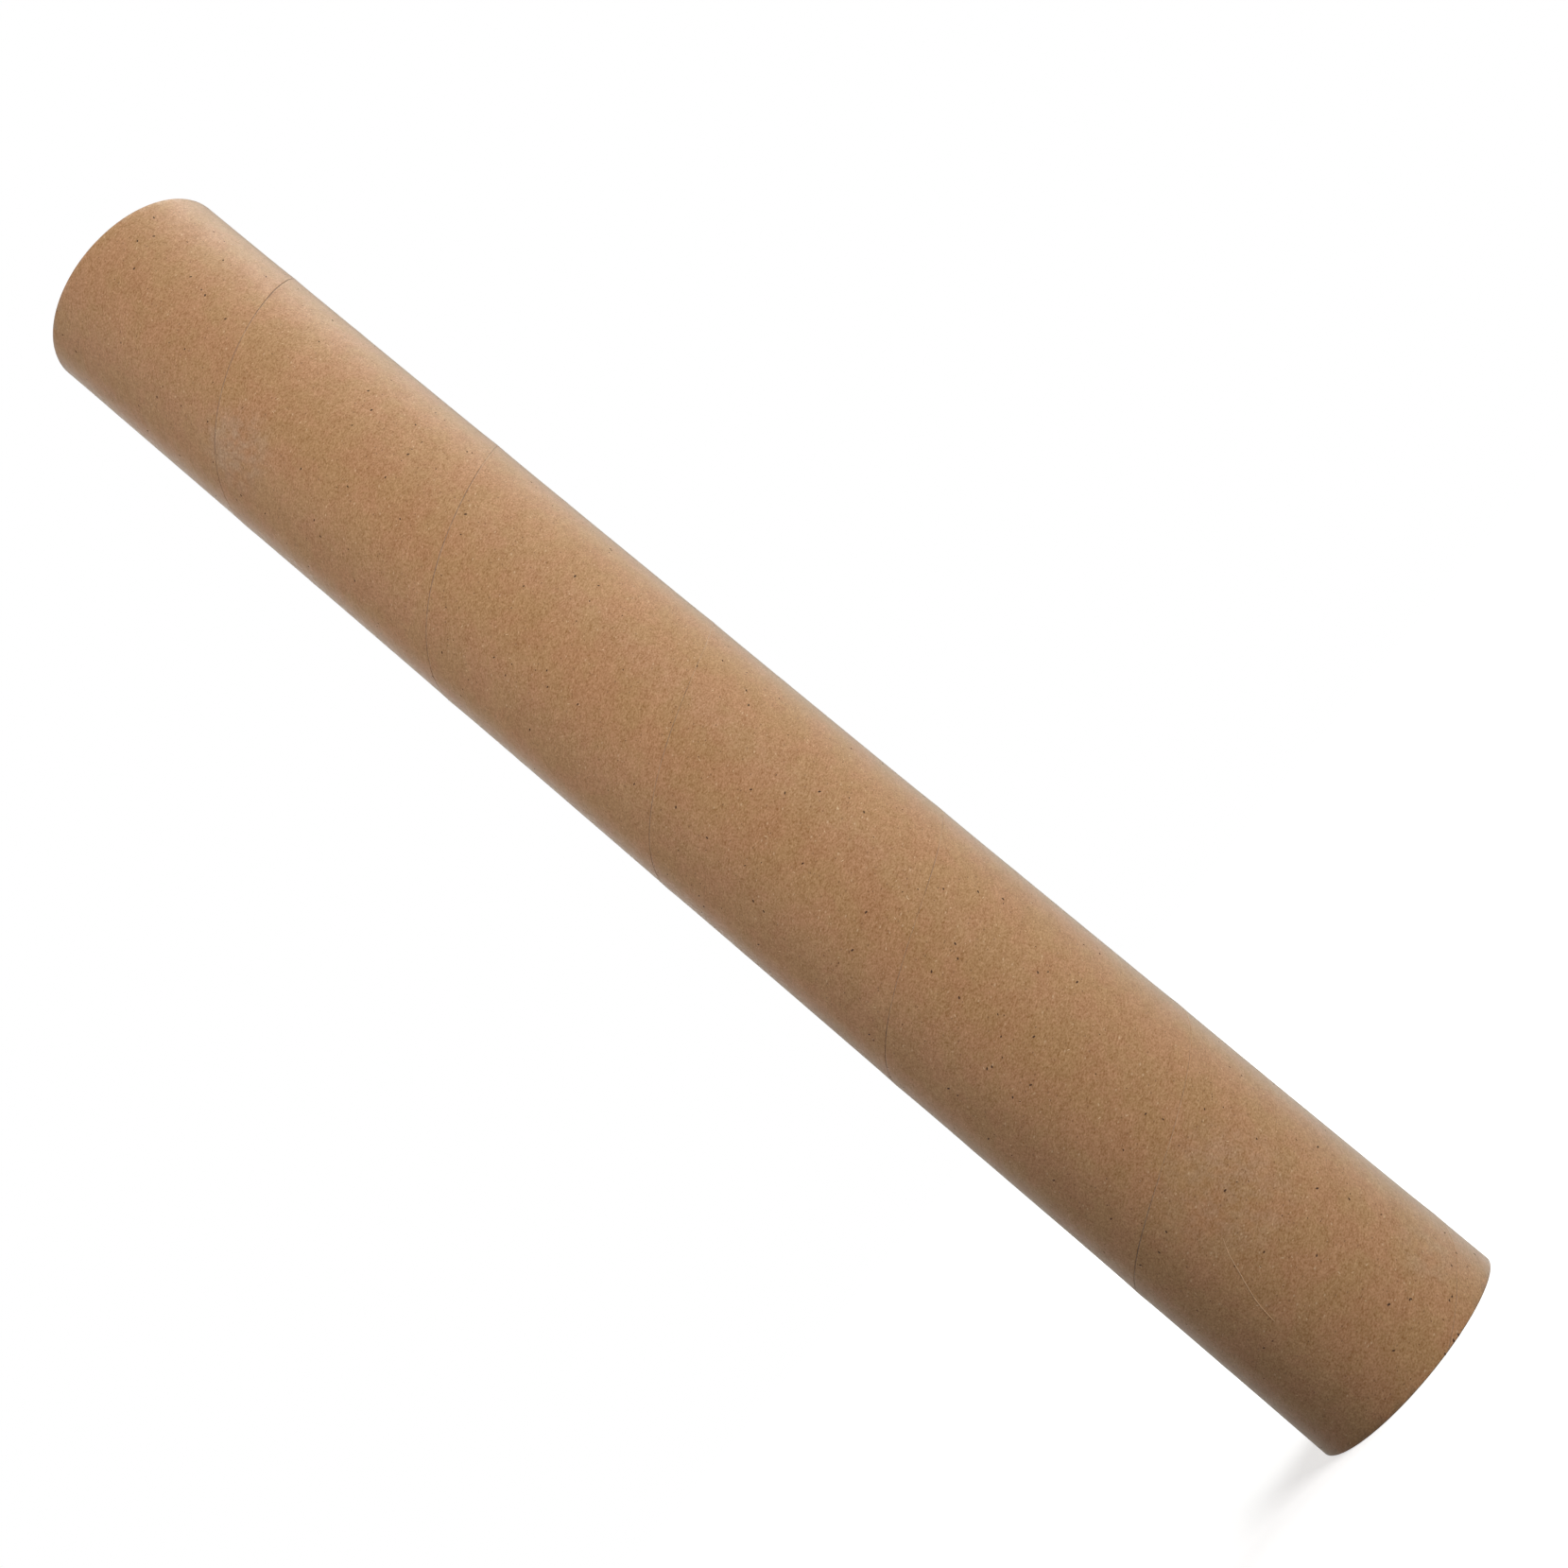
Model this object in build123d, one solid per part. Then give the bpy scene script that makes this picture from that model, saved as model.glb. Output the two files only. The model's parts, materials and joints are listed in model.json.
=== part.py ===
from build123d import *
import math
import os

# Poster tube: a spirally wound kraft paper tube, open at both ends.
# Millimetres. The tube stands on its lower sawn end, with the origin at the
# centre of that end and +Z up the bore.

# Driving dimensions
bore_diameter = 50.0         # clear width for the rolled poster
wall = 1.5                   # wound wall, all plies together
tube_length = 382.0          # between the two sawn ends
cut_edge_chamfer = 0.2       # softening of the sawn edges
strip_width = 62.6           # width of the paper strip, which sets the lead of the winding

cover_thickness = 0.3        # outermost ply
cover_joint_gap = 0.25       # between one turn of the cover and the next
cover_joint_height = 65.2    # where the cover's joint crosses the -Y side

liner_thickness = 0.3        # innermost ply
liner_joint_gap = 0.3        # between one turn of the liner and the next
liner_joint_height = 43.0    # where the liner's joint crosses the -Y side

# Worked out from them
bore_radius = bore_diameter / 2
outer_radius = bore_radius + wall
girth = 2 * math.pi * outer_radius
winding_angle = math.asin(strip_width / girth)   # a butt-wound strip just covers its turn
winding_pitch = girth * math.tan(winding_angle)  # every ply advances together on the mandrel


def sawn_tube():
    """The plain wall, with both ends sawn square and their edges softened."""
    section = Circle(outer_radius) - Circle(bore_radius)
    blank = extrude(section, amount=tube_length)
    return chamfer(blank.edges().filter_by(GeomType.CIRCLE), cut_edge_chamfer)


def joint_turn(surface_radius, depth, gap):
    """Cutter for one turn of a butt joint: a slot that starts on the -Y side at height 0.

    Its section straddles the wall's surface and stays square to it all the way round.
    """
    path = Helix(pitch=winding_pitch, height=winding_pitch, radius=surface_radius)
    path = path.rotate(Axis.Z, -90)
    start = path @ 0
    outward = Vector(start.X, start.Y, 0)
    section_plane = Plane(origin=start, x_dir=outward, z_dir=path % 0)
    section = section_plane * Rectangle(2 * depth, gap)
    return sweep(section, path=path, is_frenet=True)


def joint_slot(surface_radius, depth, gap, height):
    """Cutters end to end for a whole joint, enough of them to run out of both sawn ends."""
    turn = joint_turn(surface_radius, depth, gap)
    turns_below = math.floor(height / winding_pitch) + 1
    turns_above = math.floor((tube_length - height) / winding_pitch) + 1
    heights = [height + step * winding_pitch for step in range(-turns_below, turns_above)]
    return [turn.translate((0, 0, start_height)) for start_height in heights]


def poster_tube():
    """The wall with the butt joint of its cover outside and of its liner in the bore."""
    cover_joint = joint_slot(outer_radius, cover_thickness, cover_joint_gap, cover_joint_height)
    liner_joint = joint_slot(bore_radius, liner_thickness, liner_joint_gap, liner_joint_height)
    return sawn_tube().cut(*cover_joint).cut(*liner_joint)


def write_part(name, shape):
    shape.label = name
    export_step(shape, f"parts/{name}.step")
    size = shape.bounding_box().size
    print(f"{name}: {size.X:.2f} x {size.Y:.2f} x {size.Z:.2f} mm, {shape.volume:.0f} mm3")


os.makedirs("parts", exist_ok=True)
print(f"winding angle {math.degrees(winding_angle):.2f} degrees, pitch {winding_pitch:.2f} mm")
write_part("tube", poster_tube())
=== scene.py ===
import json
import math

import bmesh
import bpy
from mathutils import Matrix, Vector, noise


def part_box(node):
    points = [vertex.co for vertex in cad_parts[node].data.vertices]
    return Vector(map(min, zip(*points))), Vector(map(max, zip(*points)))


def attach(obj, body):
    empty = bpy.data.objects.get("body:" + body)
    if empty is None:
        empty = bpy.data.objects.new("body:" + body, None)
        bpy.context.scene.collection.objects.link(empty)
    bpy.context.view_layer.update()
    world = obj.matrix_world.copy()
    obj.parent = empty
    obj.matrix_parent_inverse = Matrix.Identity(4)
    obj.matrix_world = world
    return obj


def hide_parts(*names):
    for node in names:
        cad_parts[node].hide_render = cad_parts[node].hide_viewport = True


# Poster tube: a spirally wound kraft paper tube that stands on its sawn end.
# Metres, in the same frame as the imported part, +Z up the bore.

mm = 0.001

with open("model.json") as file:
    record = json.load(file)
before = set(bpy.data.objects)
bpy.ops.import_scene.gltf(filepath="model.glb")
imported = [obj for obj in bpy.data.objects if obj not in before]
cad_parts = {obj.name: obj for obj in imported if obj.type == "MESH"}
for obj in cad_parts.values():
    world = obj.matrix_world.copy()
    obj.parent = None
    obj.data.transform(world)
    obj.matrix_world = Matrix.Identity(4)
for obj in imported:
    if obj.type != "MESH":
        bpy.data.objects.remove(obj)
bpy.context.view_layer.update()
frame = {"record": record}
print("frame loaded")


# Node helpers, for materials and for geometry alike

class Wire:  # a socket that can stand in a plain sum
    def __init__(self, net, socket):
        self.net = net
        self.socket = socket

    def maths(self, operation, *others):
        values = dict(enumerate((self, *others)))
        return self.net.add("ShaderNodeMath", {"operation": operation}, values)

    def __add__(self, other):
        return self.maths("ADD", other)

    def __radd__(self, other):
        return self.maths("ADD", other)

    def __sub__(self, other):
        return self.maths("SUBTRACT", other)

    def __rsub__(self, other):
        return self.maths("MULTIPLY_ADD", -1.0, other)

    def __mul__(self, other):
        return self.maths("MULTIPLY", other)

    def __rmul__(self, other):
        return self.maths("MULTIPLY", other)

    def __truediv__(self, other):
        return self.maths("DIVIDE", other)

    def __mod__(self, other):
        return self.maths("FLOORED_MODULO", other)

    def __gt__(self, other):
        return self.maths("GREATER_THAN", other)

    def __lt__(self, other):
        return self.maths("LESS_THAN", other)

    def outlet(self, name):  # another output of the same node
        return Wire(self.net, self.socket.node.outputs[name])

    def between(self, low, high):  # 0 at low, 1 at high, smooth and held outside
        settings = {"interpolation_type": "SMOOTHSTEP"}
        values = {"Value": self, "From Min": low, "From Max": high}
        return self.net.add("ShaderNodeMapRange", settings, values)


class Net:  # a node tree, shader or geometry
    def __init__(self, tree):
        self.tree = tree

    def add(self, kind, settings=None, values=None, outlet=0):
        node = self.tree.nodes.new(kind)
        for name, value in (settings or {}).items():
            setattr(node, name, value)
        for name, value in (values or {}).items():
            if isinstance(value, Wire):
                self.tree.links.new(value.socket, node.inputs[name])
            else:
                node.inputs[name].default_value = value
        return Wire(self, node.outputs[outlet]) if node.outputs else node

    def number(self, value):
        return self.add("ShaderNodeMath", {"operation": "ADD"}, {0: value, 1: 0.0})

    def vector(self, x, y, z):
        return self.add("ShaderNodeCombineXYZ", None, {"X": x, "Y": y, "Z": z})

    def noise(self, place, size, detail=2.0, roughness=0.5, outlet="Fac"):
        values = {"Vector": place, "Scale": 1 / size, "Detail": detail, "Roughness": roughness}
        return self.add("ShaderNodeTexNoise", None, values, outlet)

    def mixColour(self, share, first, second, blend="MIX"):
        settings = {"data_type": "RGBA", "blend_type": blend}
        return self.add("ShaderNodeMix", settings, {0: share, 6: first, 7: second}, 2)

    def shaded(self, colour, red, green, blue):  # a colour with each of its parts made lighter or darker
        return self.mixColour(1.0, colour, self.vector(red, green, blue), "MULTIPLY")


def screenColour(red, green, blue):  # from 0 to 255 as a screen shows it
    shares = [value / 255 for value in (red, green, blue)]
    return (*[v / 12.92 if v < 0.04045 else ((v + 0.055) / 1.055) ** 2.4 for v in shares], 1)


def paint(name):  # a new material, and its node tree
    material = bpy.data.materials.new(name)
    material.use_nodes = True
    return material, Net(material.node_tree)


def dress(material, values):  # links or plain values for the sockets of its one shader
    shader = material.node_tree.nodes["Principled BSDF"]
    for name, value in values.items():
        if isinstance(value, Wire):
            material.node_tree.links.new(value.socket, shader.inputs[name])
        else:
            shader.inputs[name].default_value = value
    return material


def geometryTree(name, inputs):
    tree = bpy.data.node_groups.new(name, "GeometryNodeTree")
    tree.interface.new_socket("Geometry", in_out="INPUT", socket_type="NodeSocketGeometry")
    for label, kind in inputs.items():
        tree.interface.new_socket(label, in_out="INPUT", socket_type="NodeSocket" + kind)
    tree.interface.new_socket("Geometry", in_out="OUTPUT", socket_type="NodeSocketGeometry")
    net = Net(tree)
    return net, net.add("NodeGroupInput")


def finishTree(net, geometry, material):
    real = net.add("GeometryNodeRealizeInstances", None, {"Geometry": geometry})
    clad = net.add("GeometryNodeSetMaterial", None, {"Geometry": real, "Material": material})
    net.add("NodeGroupOutput", None, {"Geometry": clad})


def runTree(net, base, values):  # runs a geometry tree on a mesh and keeps the plain result
    carrier = bpy.data.objects.new(net.tree.name, base)
    bpy.context.collection.objects.link(carrier)
    modifier = carrier.modifiers.new(net.tree.name, "NODES")
    modifier.node_group = net.tree
    for item in net.tree.interface.items_tree:
        if item.in_out == "INPUT" and item.name in values:
            modifier[item.identifier] = values[item.name]
    evaluated = carrier.evaluated_get(bpy.context.evaluated_depsgraph_get())
    result = bpy.data.meshes.new_from_object(evaluated)
    bpy.data.objects.remove(carrier)
    return result


def addPiece(name, mesh):  # a finished mesh as a piece of the tube
    mesh.name = name
    piece = bpy.data.objects.new(name, mesh)
    bpy.context.collection.objects.link(piece)
    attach(piece, "root")
    print(f"{name}: {sum(len(face.vertices) - 2 for face in mesh.polygons)} triangles")
    return piece


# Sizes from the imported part

lowCorner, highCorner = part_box("tube")
mounts = {mount["name"]: mount for mount in frame["record"]["mounts"]}

tube = {
    "outerRadius": (highCorner.x - lowCorner.x) / 2,
    "boreRadius": mounts["bore"]["dims"]["r_mm"] * mm,
    "length": highCorner.z - lowCorner.z,
    "stripWidth": 62.6 * mm,
    "ply": 0.3 * mm,
}

girth = 2 * math.pi * tube["outerRadius"]
lead = math.asin(tube["stripWidth"] / girth)
pitch = girth * math.tan(lead)


# Kraft paper, with its grain along the strip it was wound from

cover = {
    "radius": tube["outerRadius"],
    "side": 1,
    "jointHeight": 65.2 * mm,   # where the joint crosses the front
    "columns": 192,
    "lowBands": 2,
    "bands": 8,
    "openGap": 0.14 * mm,       # where the strip's edges stand apart
    "shutGap": 0.04 * mm,       # and where they nearly meet
    "openDepth": 0.16 * mm,
    "shutDepth": 0.03 * mm,
    "edgeLift": 0.12 * mm,      # the edges stand a little proud
    "liftReach": 3.4 * mm,
    "ghostPlace": 45.4 * mm,    # the next ply's joint shows through, this far above the cover's
    "ghostHeight": 0.03 * mm,
    "ghostSpread": 1.2 * mm,
    "lip": 0.03 * mm,           # how far the edge itself is worn down
    "waviness": 0.05 * mm,
    "farRows": 26,
}

liner = {
    **cover,
    "radius": tube["boreRadius"],
    "side": -1,
    "jointHeight": 43.0 * mm,
    "columns": 144,
    "edgeLift": 0.03 * mm,
    "farRows": 14,
}

kraft = {
    "pinkish": screenColour(179, 133, 95),
    "yellowish": screenColour(176, 135, 93),
    "cloudSize": 7 * mm,    # patches of the one and of the other
    "depth": (0.78, 1.03, 1.42),  # how fast each colour darkens, so that dark grain is more orange
    "pepper": screenColour(120, 86, 60),
    "pepperSpots": (0.9 * mm, 0.11, 0.17),  # cell, share of cells with a spot, and its size in a cell
    "cream": screenColour(214, 182, 146),
    "creamSpots": (1.1 * mm, 0.08, 0.15),
    "jointWidth": 0.14 * mm,
    "jointPatch": 9 * mm,   # how long its stretches of painted shade and of painted highlight are
    "jointSeed": 16.95,
    # Painted shade in the joint's open gap: its colour and how strongly it is mixed in.
    "jointPaintedShade": screenColour(104, 74, 52),
    "jointPaintedShadeShare": 0.62,
    # How strongly a painted highlight is laid on the paper's edge along the joint.
    "jointPaintedHighlight": 0.35,
    "rubbed": screenColour(180, 151, 124),
    "rubbedGrain": 3 * mm,
    "scuffs": [             # degrees round, height, reach and how worn
        (-31, 323 * mm, 13 * mm, 0.65),
        (5, 52 * mm, 20 * mm, 0.3),
        (44, 13 * mm, 9 * mm, 0.35),
    ],
    "grain": [              # size and strength
        (13 * mm, 0.1),
        (5 * mm, 0.08),
        (2.2 * mm, 0.16),
        (1.1 * mm, 0.29),
        (0.6 * mm, 0.6),
        (0.34 * mm, 1.1),
    ],
    "stretch": 1.5,         # how much longer the grain runs along the strip than across it
    "relief": 0.045 * mm,
    "sheen": 1.0,
    "sheenTint": (1.0, 0.95, 0.86, 1),
    "roughness": 0.5,
}

chipboard = {
    **kraft,
    "pinkish": screenColour(180, 145, 115),
    "yellowish": screenColour(176, 141, 108),
    "scuffs": [],
    "sheen": 0.25,
}


def stripPlaces(net, ply):  # where a point is along and across the strip, and how far from its joint
    coordinates = net.add("ShaderNodeTexCoord", outlet="Object")
    split = net.add("ShaderNodeSeparateXYZ", None, {0: coordinates})
    x, y, z = split, split.outlet("Y"), split.outlet("Z")
    turn = x.maths("ARCTAN2", y * -1) / (2 * math.pi)
    wound = (z - ply["jointHeight"]) / pitch - turn
    band = wound.maths("FLOOR")
    climb = (wound - band) * pitch
    along = (band + turn) * math.hypot(girth, pitch) + climb * math.sin(lead)
    across = climb * math.cos(lead)
    fromJoint = climb.maths("MINIMUM", pitch - climb) * math.cos(lead)
    return coordinates, along, across, fromJoint


def specks(net, place, cell, share, size):  # round spots in a share of the cells, 0 to 1
    settings = {"voronoi_dimensions": "2D"}
    spots = net.add("ShaderNodeTexVoronoi", settings, {"Vector": place, "Scale": 1 / cell})
    luck = net.add("ShaderNodeSeparateColor", None, {0: spots.outlet("Color")})
    reach = luck.outlet("Green") * size + size * 0.5
    return (1.0 - spots.outlet("Distance") / reach).maths("MAXIMUM", 0.0) * (luck < share)


def kraftMaterial(name, ply, look):
    material, net = paint(name)
    coordinates, along, across, fromJoint = stripPlaces(net, ply)

    shade = net.number(0.0)
    relief = net.number(0.0)
    for layer, (size, strength) in enumerate(look["grain"]):
        place = net.vector(along / look["stretch"], across, layer * 1.7)
        swing = net.noise(place, size, 1.0) - 0.5
        shade = shade + swing * strength
        relief = relief + swing * min(size / mm, 2.2)
    clouds = net.noise(coordinates, look["cloudSize"], 3.0, 0.6).between(0.35, 0.65)
    colour = net.mixColour(clouds, look["pinkish"], look["yellowish"])
    for degrees, height, reach, wear in look["scuffs"]:
        angle = math.radians(degrees)
        middle = (ply["radius"] * math.sin(angle), -ply["radius"] * math.cos(angle), height)
        ends = {0: coordinates, 1: middle}
        away = net.add("ShaderNodeVectorMath", {"operation": "DISTANCE"}, ends, "Value")
        worn = net.noise(coordinates, look["rubbedGrain"], 3.0).between(0.3, 0.7)
        worn = worn * away.between(reach, reach * 0.25)
        colour = net.mixColour(worn * wear, colour, look["rubbed"])
    colour = net.shaded(colour, *[1.0 + shade * depth for depth in look["depth"]])

    pepper = specks(net, net.vector(along / 1.5, across, 0.0), *look["pepperSpots"])
    colour = net.mixColour(pepper, colour, look["pepper"])
    cream = specks(net, net.vector(across, along / 1.8, 0.0), *look["creamSpots"])
    colour = net.mixColour(cream, colour, look["cream"])

    # Along the joint: painted shade where its gap opens, and a painted highlight on the paper's edge
    # elsewhere.
    line = (1.0 - fromJoint / look["jointWidth"]).maths("MAXIMUM", 0.0)
    patchPlace = net.vector(along, 0.0, look["jointSeed"])
    patchy = net.noise(patchPlace, look["jointPatch"], 3.0, 0.7).between(0.4, 0.55)
    # A painted highlight on the paper's edge, where the joint is shut.
    colour = net.mixColour(line * (1.0 - patchy) * look["jointPaintedHighlight"], colour, look["cream"])
    # Painted shade in the joint's gap, where it opens.
    colour = net.mixColour(line * patchy * look["jointPaintedShadeShare"], colour, look["jointPaintedShade"])

    bumps = {"Strength": 0.6, "Distance": look["relief"], "Height": relief}
    return dress(material, {
        "Base Color": colour,
        "Normal": net.add("ShaderNodeBump", None, bumps),
        "Roughness": look["roughness"] - shade * 0.4,
        "IOR": 1.16,
        "Sheen Weight": look["sheen"],
        "Sheen Roughness": 0.45,
        "Sheen Tint": look["sheenTint"],
    })


def plainMaterial(name, colour, unevenness, size):
    material, net = paint(name)
    coordinates = net.add("ShaderNodeTexCoord", outlet="Object")
    lightness = 1.0 + (net.noise(coordinates, size, 2.0) - 0.5) * unevenness
    return dress(material, {
        "Base Color": net.shaded(colour, lightness, lightness, lightness),
        "Roughness": 0.7,
        "IOR": 1.3,
    })


def sawnMaterial(name, look):  # the plies end on, with the glue lines between them
    material, net = paint(name)
    coordinates = net.add("ShaderNodeTexCoord", outlet="Object")
    split = net.add("ShaderNodeSeparateXYZ", None, {0: coordinates})
    flat = net.vector(split, split.outlet("Y"), 0.0)
    radius = net.add("ShaderNodeVectorMath", {"operation": "LENGTH"}, {0: flat}, "Value")
    wander = (net.noise(coordinates, 4 * mm, 2.0) - 0.5) * (0.12 * mm)
    layer = ((radius + wander - tube["boreRadius"]) / tube["ply"]) % 1.0
    ply = 1.0 - (layer - 0.5).maths("ABSOLUTE") * 2.0  # 0 at a glue line, 1 inside a ply
    fuzz = net.noise(coordinates, 0.25 * mm, 3.0, 0.6) - 0.5
    lightness = 1.0 + fuzz * 0.5 - (1.0 - ply.between(0.0, 0.28)) * 0.28
    bumps = {"Strength": 0.7, "Distance": 0.08 * mm, "Height": fuzz + ply * 0.3}
    return dress(material, {
        "Base Color": net.shaded(look["pinkish"], lightness, lightness, lightness),
        "Normal": net.add("ShaderNodeBump", None, bumps),
        "Roughness": 0.85,
        "IOR": 1.2,
    })


kraftPaper = kraftMaterial("kraftPaper", cover, kraft)
kraftLiner = kraftMaterial("kraftLiner", liner, chipboard)
sawnBoard = sawnMaterial("sawnBoard", chipboard)
barkBrown = plainMaterial("barkBrown", screenColour(78, 54, 38), 0.6, 0.5 * mm)
fibreCream = plainMaterial("fibreCream", screenColour(220, 190, 152), 0.3, 0.5 * mm)
strayCream = plainMaterial("strayCream", screenColour(212, 176, 138), 0.5, 3 * mm)
print("materials made")


# The wound wall: one strip profile, swept round the helix and repeated band by band

windingNet, entry = geometryTree("windWall", {
    "Radius": "Float",
    "Side": "Float",
    "Joint Height": "Float",
    "Pitch": "Float",
    "Turn Length": "Float",
    "Bands": "Int",
    "Columns": "Int",
    "Rows": "Int",
    "Waviness": "Float",
    "Paper": "Material",
})
rows = entry.outlet("Rows")
columns = entry.outlet("Columns")
rowCount = rows * entry.outlet("Bands")
sheet = windingNet.add("GeometryNodeMeshGrid", None, {"Vertices X": columns + 1, "Vertices Y": rowCount})
index = windingNet.add("GeometryNodeInputIndex")
row = index % rowCount
turn = (index / rowCount).maths("FLOOR") / columns
band = (row / rows).maths("FLOOR")
step = row % rows

sampling = {"data_type": "FLOAT_VECTOR"}
gaping = windingNet.add("GeometryNodeInputPosition")
gapingProfile = windingNet.add("GeometryNodeSampleIndex", sampling, {
    "Geometry": entry,
    "Value": gaping,
    "Index": step,
})
closed = windingNet.add("GeometryNodeInputNamedAttribute", sampling, {"Name": "closed"})
closedProfile = windingNet.add("GeometryNodeSampleIndex", sampling, {
    "Geometry": entry,
    "Value": closed,
    "Index": step,
})
jointTurn = band + turn + ((step + 0.5) > rows / 2)
jointPlace = windingNet.vector(jointTurn * entry.outlet("Turn Length"), entry.outlet("Side"), 0.0)
openness = windingNet.noise(jointPlace, 40 * mm, 3.0, 0.7).between(0.45, 0.6)  # in long stretches
profile = windingNet.add("ShaderNodeMix", {"data_type": "VECTOR"}, {
    0: openness,
    4: closedProfile,
    5: gapingProfile,
}, 1)
rise = windingNet.add("ShaderNodeSeparateXYZ", None, {0: profile})
climb = rise.outlet("Z")

angle = turn * (2 * math.pi)
height = entry.outlet("Joint Height") + (band + turn) * entry.outlet("Pitch") + climb
wallPlace = windingNet.vector(angle.maths("SINE"), angle.maths("COSINE"), height * 30)  # slow waves
wave = (windingNet.noise(wallPlace, 0.8) - 0.5) * entry.outlet("Waviness") * 2
radius = entry.outlet("Radius") + (rise + wave) * entry.outlet("Side")
place = windingNet.vector(radius * angle.maths("SINE"), radius * angle.maths("COSINE") * -1, height)
wound = windingNet.add("GeometryNodeSetPosition", None, {"Geometry": sheet, "Position": place})
welded = windingNet.add("GeometryNodeMergeByDistance", None, {"Geometry": wound, "Distance": 1e-6})
smooth = windingNet.add("GeometryNodeSetShadeSmooth", None, {"Geometry": welded})
finishTree(windingNet, smooth, entry.outlet("Paper"))


def stripProfile(ply, gap, depth, climbs):  # pairs of rise off the wall and climb above the joint
    def swell(climb):
        away = min(climb, pitch - climb) / ply["liftReach"]
        ghost = (climb - ply["ghostPlace"]) / ply["ghostSpread"]
        return ply["edgeLift"] * math.exp(-away) + ply["ghostHeight"] * math.exp(-ghost * ghost)

    edge = gap / 2
    below = [(-depth, 0), (-depth, edge * 0.8), (swell(0) - ply["lip"], edge)]
    above = [(swell(0) * 0.6 - ply["lip"], pitch - edge), (-depth, pitch - edge * 0.8)]
    inner = [(swell(climb), climb) for climb in climbs]
    return below + inner + above


def profileClimbs(ply):  # rows close together beside the joint and the ghost joint
    near = [0.16 * mm, 0.35 * mm, 0.7 * mm, 1.3 * mm, 2.2 * mm, 3.4 * mm]
    far = [5.5 * mm + (pitch - 11 * mm) * share / ply["farRows"] for share in range(ply["farRows"] + 1)]
    ghost = [ply["ghostPlace"] + offset * mm for offset in (-2.0, -1.2, -0.6, 0.0, 0.6, 1.2, 2.0)]
    clear = [climb for climb in far if abs(climb - ply["ghostPlace"]) > 2.6 * mm]
    return sorted(near + clear + ghost + [pitch - climb for climb in near])


def windPly(ply, material):
    climbs = profileClimbs(ply)
    gaping = stripProfile(ply, ply["openGap"], ply["openDepth"], climbs)
    closed = stripProfile(ply, ply["shutGap"], ply["shutDepth"], climbs)
    base = bpy.data.meshes.new("stripProfile")
    base.from_pydata([(rise, 0, climb) for rise, climb in gaping], [], [])
    stored = base.attributes.new("closed", "FLOAT_VECTOR", "POINT")
    for point, (rise, climb) in zip(stored.data, closed):
        point.vector = (rise, 0, climb)
    return runTree(windingNet, base, {
        "Radius": ply["radius"],
        "Side": float(ply["side"]),
        "Joint Height": ply["jointHeight"] - ply["lowBands"] * pitch,
        "Pitch": pitch,
        "Turn Length": math.hypot(girth, pitch),
        "Bands": ply["bands"],
        "Columns": ply["columns"],
        "Rows": len(gaping),
        "Waviness": ply["waviness"],
        "Paper": material,
    })


# The saw: both ends cut square, their edges eased and their plies left to show

sawn = {
    "ease": 0.15 * mm,
    "plyGroove": 0.05 * mm,
    "grooveReach": 0.04 * mm,   # from its bottom to either side
    "roughness": 0.03 * mm,
    "chipsAround": 40,          # how fine the roughness is round the end
    "chipsAcross": 9000,        # and across the wall, for each metre
    "chipsSeed": 50,            # tells the two ends apart
    "plyDepths": [0.3 * mm, 0.6 * mm],
    "leastStep": 0.003 * mm,    # between two rings, where a joint dips into the wall
}


def angleOf(vert):
    return math.atan2(vert.co.y, vert.co.x)


def endLoop(bm, height, outside):  # the rim that a cut leaves on one side of the wall, vert after vert
    middle = (tube["outerRadius"] + tube["boreRadius"]) / 2
    rim = [v for v in bm.verts if v.is_boundary and abs(v.co.z - height) < 1e-6]
    rim = [v for v in rim if (v.co.xy.length > middle) == outside]
    loop = [min(rim, key=angleOf)]
    while len(loop) < len(rim):
        edges = [edge for edge in loop[-1].link_edges if edge.is_boundary]
        ahead = [edge.other_vert(loop[-1]) for edge in edges]
        ahead = [vert for vert in ahead if vert not in loop[-2:]]
        loop.append(min(ahead, key=angleOf))
    return loop


def ringSteps():  # pairs of depth into the wall and drop below the end, from the wound face inwards
    ease, reach = sawn["ease"], sawn["grooveReach"]
    steps = [(ease * 0.3, ease * 0.3), (ease, 0.0)]
    for depth in sawn["plyDepths"]:
        steps += [(depth - reach, 0.0), (depth, sawn["plyGroove"]), (depth + reach, 0.0)]
    return steps


def growRings(bm, loop, side, end, facing):  # rings of faces from a rim to the middle of the wall
    surface = tube["outerRadius"] if side > 0 else tube["boreRadius"]
    for depth, drop in ringSteps():
        wanted = surface - side * depth
        grown = []
        for vert in loop:
            flat = vert.co.xy
            reach = flat.length
            if side > 0:
                reach = min(wanted, reach - sawn["leastStep"])
            else:
                reach = max(wanted, reach + sawn["leastStep"])
            outward = flat.normalized()
            around = outward * sawn["chipsAround"]
            across = end * sawn["chipsSeed"] + reach * sawn["chipsAcross"]
            rough = noise.noise(Vector((around.x, around.y, across)))
            lower = drop + abs(rough) * sawn["roughness"]
            place = outward * reach
            grown.append(bm.verts.new((place.x, place.y, end - facing * lower)))
        for step, vert in enumerate(loop):
            face = bm.faces.new((loop[step - 1], vert, grown[step], grown[step - 1]))
            face.material_index = 2
        loop = grown
    return loop


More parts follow.
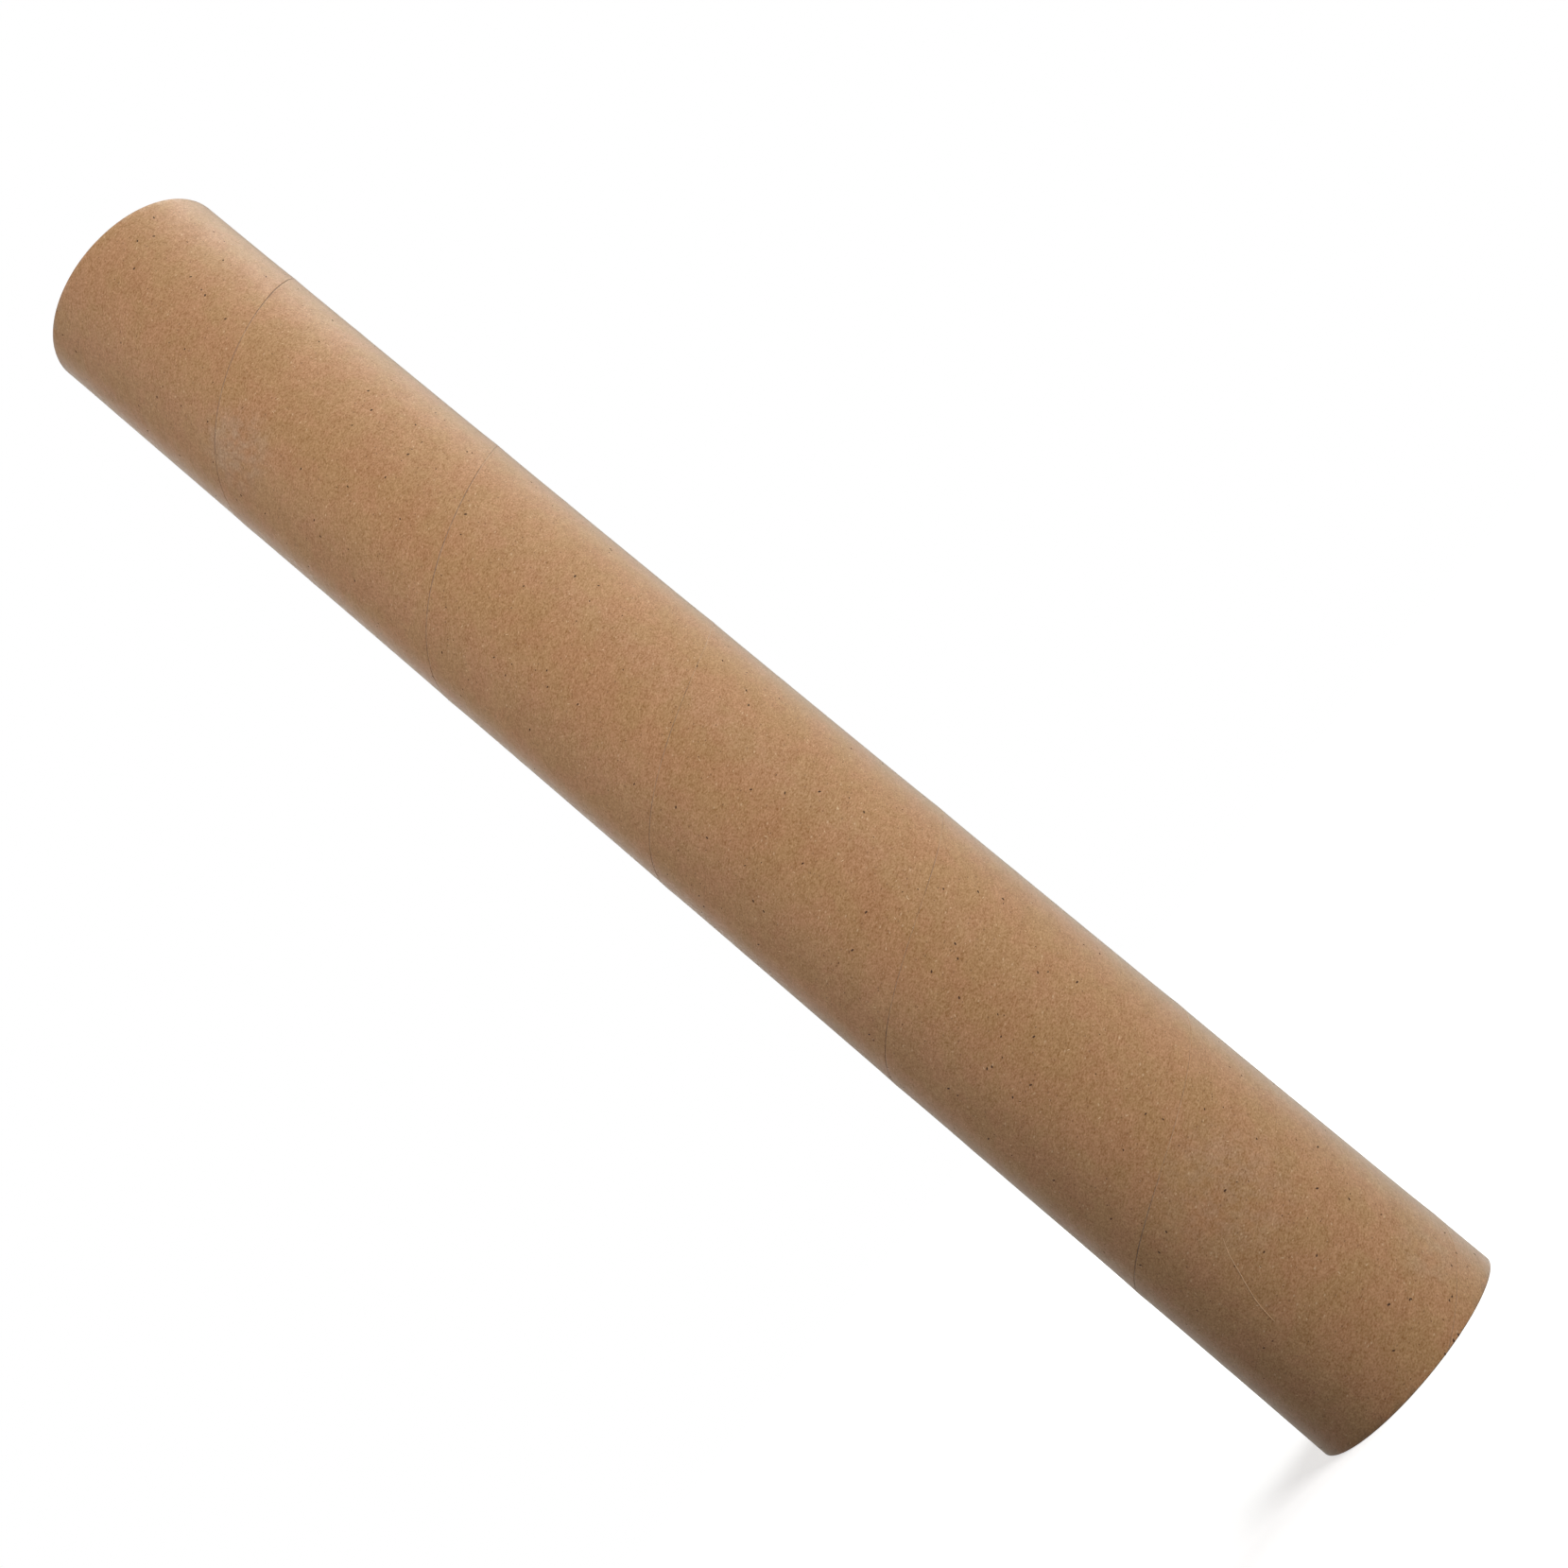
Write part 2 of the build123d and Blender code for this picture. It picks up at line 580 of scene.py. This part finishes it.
def fillEnd(bm, outer, inner):  # triangles between two rings, a step at a time on the one that lags
    outerStep, innerStep = 0, 0
    while outerStep < len(outer) or innerStep < len(inner):
        outerNext = outer[(outerStep + 1) % len(outer)]
        innerNext = inner[(innerStep + 1) % len(inner)]
        outerAngle = angleOf(outerNext) + 2 * math.pi * (outerStep + 1 >= len(outer))
        innerAngle = angleOf(innerNext) + 2 * math.pi * (innerStep + 1 >= len(inner))
        corners = [outer[outerStep % len(outer)], inner[innerStep % len(inner)]]
        if innerStep == len(inner) or (outerStep < len(outer) and outerAngle <= innerAngle):
            face = bm.faces.new(corners + [outerNext])
            outerStep += 1
        else:
            face = bm.faces.new(corners + [innerNext])
            innerStep += 1
        face.material_index = 2


def sawTube(bm):
    for end, facing in ((0.0, -1), (tube["length"], 1)):
        cut = end - facing * sawn["ease"]
        geometry = bm.verts[:] + bm.edges[:] + bm.faces[:]
        bmesh.ops.bisect_plane(
            bm, geom=geometry, dist=1e-8, plane_co=(0, 0, cut), plane_no=(0, 0, facing), clear_outer=True)
        outer = endLoop(bm, cut, True)
        inner = endLoop(bm, cut, False)
        outer = growRings(bm, outer, 1, end, facing)
        inner = growRings(bm, inner, -1, end, facing)
        fillEnd(bm, outer, inner)


bm = bmesh.new()
coverMesh = windPly(cover, kraftPaper)
linerMesh = windPly(liner, kraftLiner)
bm.from_mesh(coverMesh)
for face in bm.faces:
    face.material_index = 0
coverFaces = set(bm.faces)
bm.from_mesh(linerMesh)
for face in bm.faces:
    if face not in coverFaces:
        face.material_index = 1
sawTube(bm)
bmesh.ops.recalc_face_normals(bm, faces=bm.faces)
print("open edges", sum(1 for edge in bm.edges if not edge.is_manifold))
wallMesh = bpy.data.meshes.new("woundWall")
bm.to_mesh(wallMesh)
bm.free()
for finish in (kraftPaper, kraftLiner, sawnBoard):
    wallMesh.materials.append(finish)
wallMesh.set_sharp_from_angle(angle=math.radians(40))
woundWall = addPiece("woundWall", wallMesh)
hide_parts("tube")


# Bark specks and pale fibres lying in the paper's face, and the fuzz that the saw leaves

scatterNet, entry = geometryTree("scatterBits", {
    "Per Square Metre": "Float",
    "Seed": "Int",
    "Shortest": "Float",
    "Longest": "Float",
    "Slimness": "Float",
    "Proud": "Float",
    "Spread": "Float",
    "Lead Angle": "Float",
    "Upright": "Float",
    "Finish": "Material",
})
scattered = scatterNet.add("GeometryNodeDistributePointsOnFaces", None, {
    "Mesh": entry,
    "Density": entry.outlet("Per Square Metre"),
    "Seed": entry.outlet("Seed"),
})
spot = scatterNet.add("ShaderNodeSeparateXYZ", None, {0: scatterNet.add("GeometryNodeInputPosition")})
around = scatterNet.add("ShaderNodeVectorMath", {"operation": "NORMALIZE"}, {
    0: scatterNet.vector(spot.outlet("Y") * -1, spot, 0.0),
})
flatShare = entry.outlet("Lead Angle").maths("COSINE")
aroundParts = scatterNet.add("ShaderNodeSeparateXYZ", None, {0: around})
stripDirection = scatterNet.vector(
    aroundParts * flatShare,
    aroundParts.outlet("Y") * flatShare,
    entry.outlet("Lead Angle").maths("SINE"),
)


def randomNumber(net, entry, low, high, offset):
    seed = entry.outlet("Seed") + offset
    return net.add("FunctionNodeRandomValue", {"data_type": "FLOAT"}, {2: low, 3: high, "Seed": seed}, 1)


facing = scatterNet.add("FunctionNodeAxesToRotation", {"primary_axis": "Z", "secondary_axis": "X"}, {
    "Primary Axis": scattered.outlet("Normal"),
    "Secondary Axis": stripDirection,
})
twist = randomNumber(scatterNet, entry, entry.outlet("Spread") * -1, entry.outlet("Spread"), 1)
twistTurn = scatterNet.add("FunctionNodeAxisAngleToRotation", None, {"Axis": (0, 0, 1), "Angle": twist})
lean = randomNumber(scatterNet, entry, 0.0, entry.outlet("Upright"), 2)
leanTurn = scatterNet.add("FunctionNodeAxisAngleToRotation", None, {"Axis": (0, 1, 0), "Angle": lean * -1})
turned = scatterNet.add("FunctionNodeRotateRotation", {"rotation_space": "LOCAL"}, {
    "Rotation": facing,
    "Rotate By": twistTurn,
})
turned = scatterNet.add("FunctionNodeRotateRotation", {"rotation_space": "LOCAL"}, {
    "Rotation": turned,
    "Rotate By": leanTurn,
})
chance = randomNumber(scatterNet, entry, 0.0, 1.0, 3)
reach = entry.outlet("Shortest") + (entry.outlet("Longest") - entry.outlet("Shortest")) * chance * chance
bit = scatterNet.add("GeometryNodeMeshIcoSphere", None, {"Radius": 0.5, "Subdivisions": 1})
placed = scatterNet.add("GeometryNodeInstanceOnPoints", None, {
    "Points": scattered,
    "Instance": bit,
    "Rotation": turned,
    "Scale": scatterNet.vector(reach, reach * entry.outlet("Slimness"), entry.outlet("Proud")),
})
finishTree(scatterNet, placed, entry.outlet("Finish"))

bits = {
    "barkSpecks": {
        "Per Square Metre": 22000.0,
        "Seed": 4,
        "Shortest": 0.2 * mm,
        "Longest": 0.9 * mm,
        "Slimness": 0.55,
        "Proud": 0.05 * mm,
        "Spread": 1.1,
        "Upright": 0.0,
    },
    "paleFibres": {
        "Per Square Metre": 24000.0,
        "Seed": 11,
        "Shortest": 0.25 * mm,
        "Longest": 0.8 * mm,
        "Slimness": 0.26,
        "Proud": 0.05 * mm,
        "Spread": 1.4,
        "Upright": 0.0,
    },
    "sawnFuzz": {
        "Per Square Metre": 4.0e6,
        "Seed": 23,
        "Shortest": 0.12 * mm,
        "Longest": 0.5 * mm,
        "Slimness": 0.09,
        "Proud": 0.03 * mm,
        "Spread": 3.1,
        "Upright": 0.7,
    },
}


def facesWhere(keep):  # a copy of some of the wall's faces, to scatter over
    part = bmesh.new()
    part.from_mesh(wallMesh)
    bmesh.ops.delete(part, geom=[face for face in part.faces if not keep(face)], context="FACES")
    mesh = bpy.data.meshes.new("scatterBase")
    part.to_mesh(mesh)
    part.free()
    return mesh


woundFaces = facesWhere(lambda face: face.material_index < 2)
halfWay = tube["length"] / 2
topFaces = facesWhere(lambda face: face.material_index == 2 and face.calc_center_median().z > halfWay)
for name, base, finish in (
    ("barkSpecks", woundFaces, barkBrown),
    ("paleFibres", woundFaces, fibreCream),
    ("sawnFuzz", topFaces, sawnBoard),
):
    addPiece(name, runTree(scatterNet, base, {**bits[name], "Lead Angle": lead, "Finish": finish}))


# One long pale fibre stuck across the cover near the foot

strayFibre = {
    "thickness": 0.2 * mm,
    "lift": 0.04 * mm,
    "route": [  # degrees round from the front, and height
        (-12.2, 46.2 * mm),
        (-15.6, 43.9 * mm),
        (-17.8, 41.2 * mm),
        (-20.4, 38.2 * mm),
        (-23.3, 34.9 * mm),
        (-25.3, 31.8 * mm),
        (-26.2, 28.2 * mm),
    ],
}


def strayCurve():
    curve = bpy.data.curves.new("strayFibre", "CURVE")
    curve.dimensions = "3D"
    curve.bevel_depth = strayFibre["thickness"] / 2
    curve.bevel_resolution = 2
    curve.resolution_u = 8
    curve.use_fill_caps = True
    spline = curve.splines.new("NURBS")
    spline.points.add(len(strayFibre["route"]) - 1)
    for share, (point, (degrees, height)) in enumerate(zip(spline.points, strayFibre["route"])):
        angle = math.radians(degrees)
        radius = tube["outerRadius"] + strayFibre["lift"]
        point.co = (radius * math.sin(angle), -radius * math.cos(angle), height, 1)
        point.radius = 0.45 + 0.55 * math.sin(math.pi * (share + 0.5) / len(strayFibre["route"]))
    spline.order_u = 3
    spline.use_endpoint_u = True
    return curve


holder = bpy.data.objects.new("strayCurve", strayCurve())
bpy.context.collection.objects.link(holder)
strayMesh = bpy.data.meshes.new_from_object(holder.evaluated_get(bpy.context.evaluated_depsgraph_get()))
bpy.data.objects.remove(holder)
strayMesh.materials.clear()
strayMesh.materials.append(strayCream)
addPiece("strayFibre", strayMesh)


# Floor, lights and camera

studio = {
    "floorReach": 30,
    "floorWhite": (0.85, 0.85, 0.85, 1),  # as the camera sees it
    "floorGrey": (0.15, 0.15, 0.15, 1),   # as it lights the tube
    "glowNear": 0.55,                     # the shadow at the foot still shows
    "glowFar": 1.0,                       # plain white
    "glowRise": (0.15, 0.7),
    "worldFill": 0.05,
}

lamps = {
    "keyLight": {"place": (0.50, -0.52, 0.36), "aim": (0, 0, 0.05), "size": 0.3, "watts": 3.9},
    "sideLight": {"place": (-0.37, -0.23, 0.32), "aim": (0, 0, 0.67), "size": 0.56, "watts": 1.6,
                  "colour": (1.0, 0.95, 0.92)},
    "rightLight": {"place": (0.55, 0.0, 0.95), "aim": (0, 0, 0.55), "size": 0.6, "watts": 3.9,
                   "colour": (0.93, 1.0, 0.98)},
    "rimLight": {"place": (0.75, 0.33, 0.95), "aim": (0, 0, 0.5), "size": 0.6, "watts": 4.2},
    "backLight": {"place": (-0.4, 1.1, 0.7), "aim": (0, 0, 0.2), "size": 0.8, "watts": 3.6},
}

view = {
    "place": (0, -0.434356, 0.095806),
    "heading": math.radians(1.115),    # towards +X
    "elevation": math.radians(10.898),
    "roll": math.radians(50.175),      # the tube leans this far to the left in view
    "lens": 44.852,
    "sensor": 36,
}


def seenDirectly(net):  # 1 for the camera, and for what gloss and glass would show
    path = net.add("ShaderNodeLightPath", outlet="Is Camera Ray")
    shown = path.maths("MAXIMUM", path.outlet("Is Glossy Ray"))
    return shown.maths("MAXIMUM", path.outlet("Is Transmission Ray"))


def floorMaterial():  # white to the camera, and dim to the tube
    material, net = paint("floorPaint")
    nodes = material.node_tree.nodes
    nodes.remove(nodes["Principled BSDF"])
    coordinates = net.add("ShaderNodeTexCoord", outlet="Object")
    fromTube = net.add("ShaderNodeVectorMath", {"operation": "LENGTH"}, {0: coordinates}, "Value")
    rise = studio["glowFar"] - studio["glowNear"]
    glow = fromTube.between(*studio["glowRise"]) * rise + studio["glowNear"]
    glowing = net.add("ShaderNodeEmission", None, {"Color": net.vector(glow, glow, glow)})
    white = net.add("ShaderNodeBsdfDiffuse", None, {"Color": studio["floorWhite"]})
    grey = net.add("ShaderNodeBsdfDiffuse", None, {"Color": studio["floorGrey"]})
    shown = net.add("ShaderNodeAddShader", None, {0: glowing, 1: white})
    either = net.add("ShaderNodeMixShader", None, {0: seenDirectly(net), 1: grey, 2: shown})
    material.node_tree.links.new(either.socket, nodes["Material Output"].inputs["Surface"])
    return material


def studioWorld():
    world = bpy.data.worlds.new("studio")
    world.use_nodes = True
    background = world.node_tree.nodes["Background"]
    fill = studio["worldFill"]
    strength = seenDirectly(Net(world.node_tree)) * (1 - fill) + fill
    world.node_tree.links.new(strength.socket, background.inputs["Strength"])
    background.inputs["Color"].default_value = (1, 1, 1, 1)
    return world


def softLight(name, place, aim, size, watts, colour=(1, 1, 1)):
    light = bpy.data.lights.new(name, "AREA")
    light.shape = "SQUARE"
    light.size = size
    light.energy = watts
    light.color = colour
    lamp = bpy.data.objects.new(name, light)
    lamp.location = place
    lamp.rotation_euler = (Vector(aim) - Vector(place)).to_track_quat("-Z", "Y").to_euler()
    lamp.visible_camera = False
    bpy.context.collection.objects.link(lamp)


def aimCamera():
    lens = bpy.data.cameras.new("camera")
    lens.sensor_fit = "HORIZONTAL"
    lens.sensor_width = view["sensor"]
    lens.lens = view["lens"]
    camera = bpy.data.objects.new("camera", lens)
    bpy.context.collection.objects.link(camera)
    level = math.cos(view["elevation"])
    forward = Vector((
        math.sin(view["heading"]) * level,
        math.cos(view["heading"]) * level,
        math.sin(view["elevation"]),
    ))
    upright = forward.to_track_quat("-Z", "Y").to_matrix()
    rolled = Matrix.Rotation(view["roll"], 3, forward) @ upright
    camera.matrix_world = Matrix.Translation(view["place"]) @ rolled.to_4x4()
    return camera


reach = studio["floorReach"]
floorMesh = bpy.data.meshes.new("floor")
floorCorners = [(-reach, -reach, 0), (reach, -reach, 0), (reach, reach, 0), (-reach, reach, 0)]
floorMesh.from_pydata(floorCorners, [], [(0, 1, 2, 3)])
floorMesh.materials.append(floorMaterial())
floor = bpy.data.objects.new("floor", floorMesh)
bpy.context.collection.objects.link(floor)
print("floor laid")

for name, lamp in lamps.items():
    softLight(name, **lamp)
scene = bpy.context.scene
scene.world = studioWorld()
scene.camera = aimCamera()
scene.view_settings.view_transform = "Standard"
print("lights and camera set")
